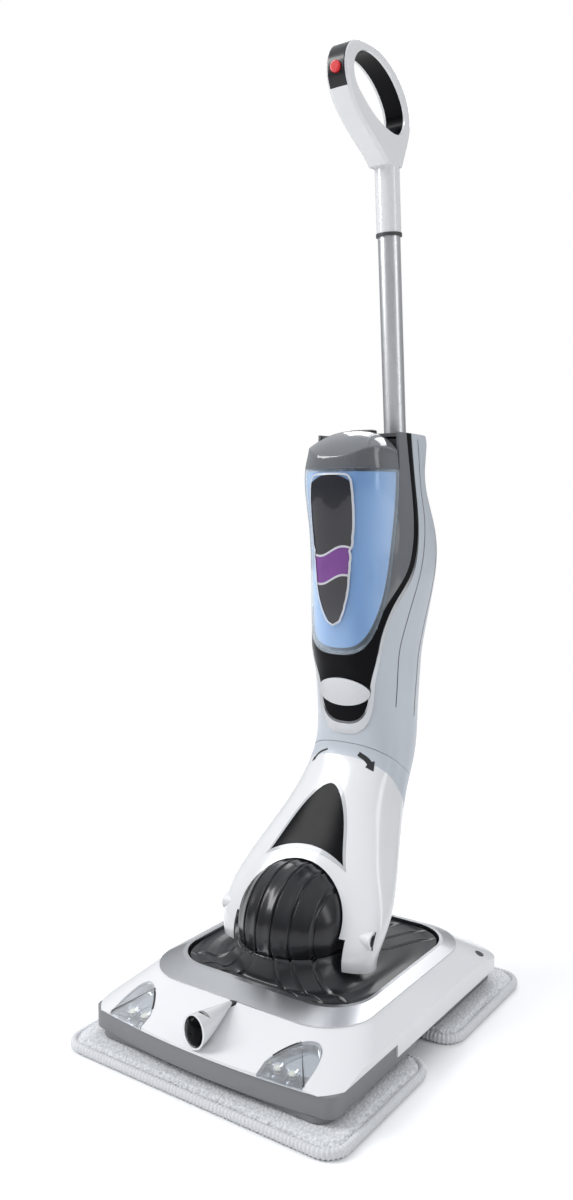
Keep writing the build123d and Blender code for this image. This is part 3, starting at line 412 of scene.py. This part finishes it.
def rounded_rectangle(low, high, radius, step):
    """Closed plan outline with round corners, at an even spacing."""
    corners = (
        (high.x - radius, high.y - radius, 0), (low.x + radius, high.y - radius, 90),
        (low.x + radius, low.y + radius, 180), (high.x - radius, low.y + radius, 270),
    )
    outline = []
    for x, y, start in corners:
        turns = max(4, int(radius * math.pi / 2 / step))
        for i in range(turns + 1):
            angle = math.radians(start + 90 * i / turns)
            outline.append(Vector((x + radius * math.cos(angle), y + radius * math.sin(angle), 0)))
    even = []
    for a, b in zip(outline, outline[1:] + outline[:1]):
        pieces = max(1, round((b - a).length / step))
        even.extend(a + (b - a) * i / pieces for i in range(pieces))
    return even


# ---------------------------------------------------------------- pads

PAD_CORNER = 0.026
PAD_SHARES = (0.975, 0.955, 0.62)
PAD_VOXEL = 0.005
PRESSURE = 4.0
CLOTH_STEPS = 20
CLOTH_CAP = 0.006
PLAN_GIVE = 0.1
TUFT_SCALE = 190
TUFT_HEIGHT = 0.0009
LOOP_ROWS = (0.0065, 0.0085)
LOOP_HEIGHT = 0.0005
TOP_GAP = 0.0004
HEM_R = 0.0042
HEM_LEVEL = 0.45
HEM_STEP = 0.0011
HEM_AROUND = 12
HEM_WIDE = 0.95
HEM_TALL = 1.25
RIB_RISE = 0.13
RIB_STEPS = 4
HEM_TAPE = knit("hem_tape", (0.68, 0.69, 0.71))


def inflate(piece):
    """Puffs a closed mesh with a short cloth simulation, and leaves the result in its mesh."""
    bpy.context.view_layer.objects.active = piece
    cloth = piece.modifiers.new("cloth", "CLOTH")
    cloth.settings.use_pressure = True
    cloth.settings.uniform_pressure_force = PRESSURE
    cloth.settings.effector_weights.gravity = 0.0
    cloth.settings.quality = 5
    for step in range(1, CLOTH_STEPS + 1):
        bpy.context.scene.frame_set(step)
    bake(piece)
    bpy.context.scene.frame_set(1)


def pile(spot):
    """How far the loops stand out of the pad at a place: random tufts over even rows."""
    tuft = noise.fractal(spot * TUFT_SCALE, 0.8, 2.0, 3) * TUFT_HEIGHT
    row_x, row_y = (2 * math.pi / spacing for spacing in LOOP_ROWS)
    return tuft + math.sin(spot.x * row_x) * math.sin(spot.y * row_y) * LOOP_HEIGHT


def puffed(node, name, body):
    """The pad's cloth: its CAD shape slightly reduced, puffed by pressure, then given its pile."""
    low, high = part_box(node)
    middle = (low + high) / 2
    mesh = frame["nodes"][node].data.copy()
    for v in mesh.vertices:
        v.co = middle + Vector(offset * share for offset, share in zip(v.co - middle, PAD_SHARES))
    piece = even_copy(node, name, PAD_VOXEL, mesh)
    rest = [v.co.copy() for v in piece.data.vertices]
    inflate(piece)
    for v, start in zip(piece.data.vertices, rest):
        moved = v.co - start
        moved = Vector((moved.x * PLAN_GIVE, moved.y * PLAN_GIVE, moved.z))
        if moved.length > CLOTH_CAP:
            moved = moved.normalized() * CLOTH_CAP
        v.co = start + moved
    finer = piece.modifiers.new("finer", "SUBSURF")
    finer.levels = finer.render_levels = 2
    bake(piece)
    top = Vector((high.x, high.y, high.z - TOP_GAP))
    normals = [v.normal.copy() for v in piece.data.vertices]
    for v, normal in zip(piece.data.vertices, normals):
        v.co += normal * pile(v.co)
        keep_between(v.co, low, top)
    dress(piece, FABRIC, body)
    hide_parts(node)


def hem(node, name, body):
    """The stitched, ribbed tape round the pad's edge."""
    low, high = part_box(node)
    inset = Vector((HEM_R, HEM_R, 0))
    outline = rounded_rectangle(low + inset, high - inset, PAD_CORNER - HEM_R, HEM_STEP)
    count = len(outline)
    height = low.z + HEM_LEVEL * (high.z - low.z)
    vertices = []
    for i, spot in enumerate(outline):
        along = (outline[(i + 1) % count] - outline[i - 1]).normalized()
        out = Vector((along.y, -along.x, 0))
        rib = 1.0 + RIB_RISE * math.sin(i * 2 * math.pi / RIB_STEPS)
        for k in range(HEM_AROUND):
            angle = 2 * math.pi * k / HEM_AROUND
            rise = math.sin(angle) * HEM_R * HEM_TALL * rib
            reach = math.cos(angle) * HEM_R * HEM_WIDE * rib
            vertices.append(spot + out * reach + Vector((0, 0, height + rise)))
    faces = grid_faces(count, HEM_AROUND, closed=True)
    last = (count - 1) * HEM_AROUND
    for k in range(HEM_AROUND):
        d = (k + 1) % HEM_AROUND
        faces.append((last + k, last + d, d, k))
    new_mesh(name, vertices, faces, HEM_TAPE, body)


for end in ("front", "rear"):
    puffed(f"{end}_pad", f"{end}_pad_cloth", f"{end}_scrubber")
    hem(f"{end}_pad", f"{end}_pad_hem", f"{end}_scrubber")

# ---------------------------------------------------------------- ball and skirt

dome_low, dome_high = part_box("ball_dome")
BALL_R = (dome_high.x - dome_low.x) / 2
BALL = Vector((0, (dome_low.y + dome_high.y) / 2, dome_high.z - BALL_R))
BALL_COLUMNS = 120
BALL_ROWS = 380
BANDS = (-0.050, -0.030, -0.010, 0.010, 0.030, 0.050)
BAND_PITCH = 0.020
BAND_BELLY = 0.0006
BAND_GROOVE = 0.0020
BAND_DEPTH = 0.0028
SKIRT_TOP_R = math.sqrt(BALL_R ** 2 - (BALL.z - dome_low.z) ** 2) - 0.0005
SKIRT_COLUMNS = 720
SKIRT_ROWS = 46
SKIRT_SQUARENESS = 0.4
SKIRT_REACH = 0.499
SKIRT_GROOVE = 0.0024
SKIRT_DEPTH = 0.0030
OVERHEAD = 0.3
DOWN = (0, 0, -1)


def groove(x, width, depth):
    """How deep the grooves between bands are at a place across the ball."""
    away = min(abs(x - band) for band in BANDS)
    return depth * max(0.0, 1 - (away / width) ** 2)


def ball_gores():
    """The ball's shell as rounded bands round the hinge axis, with grooves between them."""
    vertices = []
    base = dome_low.z - BALL.z
    for r in range(BALL_ROWS):
        x = -BALL_R * math.cos(math.pi * (r + 0.5) / BALL_ROWS)
        ring = math.sqrt(BALL_R ** 2 - x ** 2)
        turn = 2 * math.pi * (x - BANDS[3]) / BAND_PITCH
        belly = BAND_BELLY * math.cos(turn) if abs(x) < BANDS[-1] else 0
        radius = ring - groove(x, BAND_GROOVE, BAND_DEPTH) + min(0.0, belly - BAND_BELLY)
        reach = math.asin(min(1.0, -base / ring)) if ring > -base else math.pi / 2
        for c in range(BALL_COLUMNS):
            angle = -reach + (math.pi + 2 * reach) * c / (BALL_COLUMNS - 1)
            rise = max(base, radius * math.sin(angle))
            vertices.append(BALL + Vector((x, radius * math.cos(angle), rise)))
    faces = grid_faces(BALL_ROWS, BALL_COLUMNS)
    piece = new_mesh("ball_bands", vertices, faces, CHARCOAL, "head")
    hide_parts("ball_dome")


def squared(share):
    """Turns a circle's sine or cosine into that of a rectangle with round corners."""
    return math.copysign(abs(share) ** SKIRT_SQUARENESS, share)


def skirt_ribs():
    """The flared skirt between ball and ring, with grooves that carry on the ball's bands."""
    tree = tree_of("ball_skirt")
    low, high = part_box("ball_skirt")
    middle = (low + high) / 2
    top_middle, foot_middle = Vector((BALL.x, BALL.y, 0)), Vector((middle.x, middle.y, 0))
    vertices = []
    for r in range(SKIRT_ROWS):
        s = r / (SKIRT_ROWS - 1)
        for c in range(SKIRT_COLUMNS):
            angle = 2 * math.pi * c / SKIRT_COLUMNS
            across, along = math.cos(angle), math.sin(angle)
            inner = Vector((across, along, 0)) * SKIRT_TOP_R
            outer = Vector((squared(across) * (high.x - low.x) * SKIRT_REACH,
                            squared(along) * (high.y - low.y) * SKIRT_REACH, 0))
            spot = (top_middle + inner).lerp(foot_middle + outer, s)
            hit = drop_on(tree, (spot.x, spot.y, OVERHEAD), DOWN, 0.0)
            level = hit.z if hit else high.z - s * (high.z - low.z)
            cut = groove(inner.x, SKIRT_GROOVE, SKIRT_DEPTH) * min(1.0, 4 * (1 - s))
            vertices.append(Vector((spot.x, spot.y, level - cut)))
    faces = grid_faces(SKIRT_ROWS, SKIRT_COLUMNS, closed=True)
    piece = new_mesh("skirt_ribs", vertices, faces, SMOKE, "head")
    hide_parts("ball_skirt")


ball_gores()
skirt_ribs()

# ---------------------------------------------------------------- tank top

TOP_VOXEL = 0.0012
ARCH_FALL = 0.86
ARCH_POWER = 2.3


def arched_top():
    """The tank's smoked top, rounded down at its sides into the arch seen from the front."""
    low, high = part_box("tank_top")
    half = (high.x - low.x) / 2
    piece = even_copy("tank_top", "tank_top_arch", TOP_VOXEL)
    for v in piece.data.vertices:
        share = min(1.0, abs(v.co.x) / half)
        arch = math.sqrt(1 - ARCH_FALL * share ** ARCH_POWER)
        v.co.z = low.z + max(0.0, v.co.z - low.z) * arch
        keep_between(v.co, low, high)
    dress(piece, SMOKE_CLEAR, "tank")
    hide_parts("tank_top")


arched_top()

# ---------------------------------------------------------------- printed marks and seams

INK = gloss_plastic("ink", (0.01, 0.01, 0.012), 0.4, 0.0)
# painted shade: a dark grey that stands in for the shade inside the shell's moulded seam grooves
PAINTED_SEAM_SHADE = matte_plastic("seam", (0.07, 0.073, 0.08), 0.6)
PALE_INK = gloss_plastic("pale_ink", (0.55, 0.57, 0.62), 0.3)
TOWARDS_BACK = (0, 1, 0)
IN_FRONT = -0.3
ARROW_POINTS = 24
ARROW_TIP = 0.0004
neck_tree = tree_of("neck_front", "neck_rear")
joint_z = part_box("swivel_ring")[1].z


def arrow(name, places, shaft, head, head_start):
    """A curved arrow on the neck; places are x and height over the swivel ring, in front view."""
    def width(t):
        return shaft if t < head_start else head * (1.0 - t) / (1.0 - head_start) + ARROW_TIP

    path = smooth_path([(x, IN_FRONT, joint_z + z) for x, z in places], ARROW_POINTS)
    ribbon(name, neck_tree, path, TOWARDS_BACK, width, INK, "neck")


arrow("swivel_arrow_right", ((0.022, -0.008), (0.034, -0.0145), (0.044, -0.026)), 0.0052, 0.0105, 0.68)
arrow("swivel_arrow_left", ((-0.022, -0.008), (-0.034, -0.0145), (-0.043, -0.026)), 0.0022, 0.004, 0.8)

BESIDE = 0.2
SEAM_POINTS = 90
SEAM_WIDTH = 0.0014
SEAM_LIFT = 0.0002
INNER_SEAM = ((0.44, 0.985), (0.50, 0.86), (0.555, 0.745), (0.50, 0.62), (0.30, 0.48),
              (0.19, 0.38), (0.17, 0.24))
OUTER_SEAM = ((0.66, 0.985), (0.73, 0.86), (0.80, 0.73), (0.76, 0.60), (0.58, 0.46),
              (0.44, 0.34), (0.40, 0.20))
shell_tree = tree_of("rear_shell")
shell_low, shell_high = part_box("rear_shell")


def shell_seam(name, places, side):
    """A dark line down the shell's side, painted shade in its moulded seam groove; places are shares of its
    depth and height.
    """
    reach = shell_high - shell_low
    path = smooth_path([(side * BESIDE, shell_low.y + a * reach.y, shell_low.z + b * reach.z)
                        for a, b in places], SEAM_POINTS)
    ribbon(name, shell_tree, path, (-side, 0, 0), SEAM_WIDTH, PAINTED_SEAM_SHADE, "upper_body", SEAM_LIFT, 3)


for side, side_name in ((-1, "left"), (1, "right")):
    shell_seam(f"shell_seam_inner_{side_name}", INNER_SEAM, side)
    shell_seam(f"shell_seam_outer_{side_name}", OUTER_SEAM, side)

RIM_LEVELS = 36
RIM_POINTS = 300
RIM_WIDTH = 0.0022
RIM_LIFT = 0.0008
LEVEL_REACH = 0.004


def label_rim():
    """A pale printed line round the tank label's edge."""
    tree = tree_of("tank_shell", "tank_top", "tank_label")
    corners = [v.co for v in frame["nodes"]["tank_label"].data.vertices]
    right = [(0.0, IN_FRONT, label_low.z)]
    for i in range(1, RIM_LEVELS + 1):
        z = label_low.z + (label_high.z - label_low.z) * i / RIM_LEVELS
        near = [v.x for v in corners if abs(v.z - z) < LEVEL_REACH]
        right.append((max(near) if near else 0.0, IN_FRONT, z))
    left = [(-x, y, z) for x, y, z in right[:0:-1]]
    outline = smooth_path([*right, *left, right[0]], RIM_POINTS)
    ribbon("label_rim", tree, outline, TOWARDS_BACK, RIM_WIDTH, PALE_INK, "tank", RIM_LIFT, 4)


label_rim()

# ---------------------------------------------------------------- headlights

GASKET_STEP = 0.0015
GASKET_WIDTH = 0.0020
GASKET_LIFT = 0.0003
LENS_FRONT = 0.003
CUP_RINGS = 8
CUP_AROUND = 40
CUP_INNER_R = 0.0035
CUP_SPREAD = 0.0046
CUP_HEIGHT = 0.0036
CUP_LIFT = 0.0022
BULB_WIDTH = 0.0064
lamp_tree = tree_of("headlight_lenses", "head_cover")
bulb_xs = [v.co.x for v in frame["nodes"]["headlight_bulbs"].data.vertices]
bulb_low, bulb_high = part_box("headlight_bulbs")
cup_y = (bulb_low.y + bulb_high.y) / 2
cup_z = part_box("headlight_reflectors")[0].z + CUP_LIFT


def hull_of(points):
    """The convex outline of plan points, anticlockwise."""
    points = sorted(set(points))
    halves = []
    for ordered in (points, points[::-1]):
        half = []
        for p in ordered:
            while len(half) > 1 and ((half[-1][0] - half[-2][0]) * (p[1] - half[-2][1])
                                     - (half[-1][1] - half[-2][1]) * (p[0] - half[-2][0])) <= 0:
                half.pop()
            half.append(p)
        halves.append(half[:-1])
    return halves[0] + halves[1]


def lamp_gasket(name, side):
    """The dark gasket round a headlight's lens, open along the lens's straight front edge."""
    corners = [v.co for v in frame["nodes"]["headlight_lenses"].data.vertices if v.co.x * side > 0]
    around = [Vector((x, y, OVERHEAD)) for x, y in hull_of((round(v.x, 5), round(v.y, 5)) for v in corners)]
    path = []
    for a, b in zip(around, around[1:] + around[:1]):
        pieces = max(1, int((b - a).length / GASKET_STEP))
        path.extend(a + (b - a) * i / pieces for i in range(pieces))
    front = min(p.y for p in path) + LENS_FRONT
    back = [p for p in path if p.y > front]
    start = max(range(len(back)), key=lambda i: (back[i] - back[i - 1]).length)
    back = back[start:] + back[:start]
    ribbon(name, lamp_tree, back, DOWN, GASKET_WIDTH, INK, "head", GASKET_LIFT, 4)


def lamp_cup(name, spot):
    """A small bright bowl round one bulb."""
    vertices = []
    for r in range(CUP_RINGS):
        t = r / (CUP_RINGS - 1)
        radius = CUP_INNER_R + CUP_SPREAD * t
        for k in range(CUP_AROUND):
            angle = 2 * math.pi * k / CUP_AROUND
            vertices.append(spot + Vector((radius * math.cos(angle), radius * math.sin(angle),
                                           CUP_HEIGHT * t * t)))
    new_mesh(name, vertices, grid_faces(CUP_RINGS, CUP_AROUND, closed=True), CHROME, "head")


for side, side_name in ((-1, "left"), (1, "right")):
    lamp_gasket(f"lamp_gasket_{side_name}", side)
    own_xs = [x for x in bulb_xs if x * side > 0]
    for number, x in enumerate((min(own_xs) + BULB_WIDTH / 2, max(own_xs) - BULB_WIDTH / 2)):
        lamp_cup(f"lamp_cup_{side_name}_{number}", Vector((x, cup_y, cup_z)))

# ---------------------------------------------------------------- camera, floor, light

CAMERA_SPOT = (0.6379, -0.9681, 0.5983)
CAMERA_TURN = 35.1
CAMERA_PITCH = 5.37
LENS_MM = 30.3
SENSOR_MM = 36.0
FLOOR_REACH = 6
FADE_START = 0.75
FADE_END = 1.9

camera_data = bpy.data.cameras.new("camera")
camera_data.sensor_fit = "VERTICAL"
camera_data.sensor_height = SENSOR_MM
camera_data.lens = LENS_MM
camera = placed("camera", camera_data)
camera.location = CAMERA_SPOT
camera.rotation_euler = Euler((math.radians(90 - CAMERA_PITCH), 0, math.radians(CAMERA_TURN)))
bpy.context.scene.camera = camera

floor_mesh = bpy.data.meshes.new("floor")
corners = [(x * FLOOR_REACH, y * FLOOR_REACH, 0) for x, y in ((-1, -1), (1, -1), (1, 1), (-1, 1))]
floor_mesh.from_pydata(corners, [], [(0, 1, 2, 3)])
pale = Shader("floor_paint", (0.93, 0.93, 0.935), 0.6)
pale.tint(amount=0.01, scale=3.0)
away = pale.node("ShaderNodeVectorMath", Vector=pale.place)
away.operation = "LENGTH"
fade = pale.spread(away.outputs["Value"], 0.0, 1.0, (FADE_START, FADE_END))
backdrop_glow = pale.node("ShaderNodeEmission")
pale.show_mix(fade, pale.main.outputs[0], backdrop_glow.outputs[0])
floor_mesh.materials.append(pale.material)
placed("floor", floor_mesh)

world = bpy.data.worlds.new("studio")
world.use_nodes = True
studio = world.node_tree
way = studio.nodes.new("ShaderNodeTexCoord").outputs["Generated"]
split_way = studio.nodes.new("ShaderNodeSeparateXYZ")
studio.links.new(way, split_way.inputs[0])
dome = studio.nodes.new("ShaderNodeValToRGB")
studio.links.new(split_way.outputs["Z"], dome.inputs["Fac"])
dome.color_ramp.elements[0].color = (0.16, 0.165, 0.175, 1)
dome.color_ramp.elements[1].color = (0.9, 0.92, 0.95, 1)
dome.color_ramp.elements[1].position = 0.75
seen = studio.nodes.new("ShaderNodeLightPath").outputs["Is Camera Ray"]
sky = studio.nodes.new("ShaderNodeMix")
sky.data_type = "RGBA"
sky.inputs[7].default_value = (1.0, 1.0, 1.0, 1)
studio.links.new(seen, sky.inputs[0])
studio.links.new(dome.outputs["Color"], sky.inputs[6])
studio.links.new(sky.outputs[2], studio.nodes["Background"].inputs["Color"])
bpy.context.scene.world = world


def softbox(name, spot, aim_height, width, height, power):
    """A rectangular studio light that points at the mop's middle at a height."""
    data = bpy.data.lights.new(name, "AREA")
    data.shape = "RECTANGLE"
    data.size, data.size_y, data.energy = width, height, power
    lamp = placed(name, data)
    lamp.location = spot
    lamp.rotation_euler = (Vector((0, 0, aim_height)) - Vector(spot)).to_track_quat("-Z", "Y").to_euler()


softbox("key", (-1.9, -1.6, 2.2), aim_height=0.5, width=1.0, height=2.0, power=62)
softbox("side", (2.2, 0.3, 1.3), aim_height=0.5, width=0.5, height=2.0, power=9)
softbox("back", (-0.6, 2.2, 2.4), aim_height=0.4, width=2.0, height=1.2, power=30)
bpy.context.scene.view_settings.view_transform = "Standard"
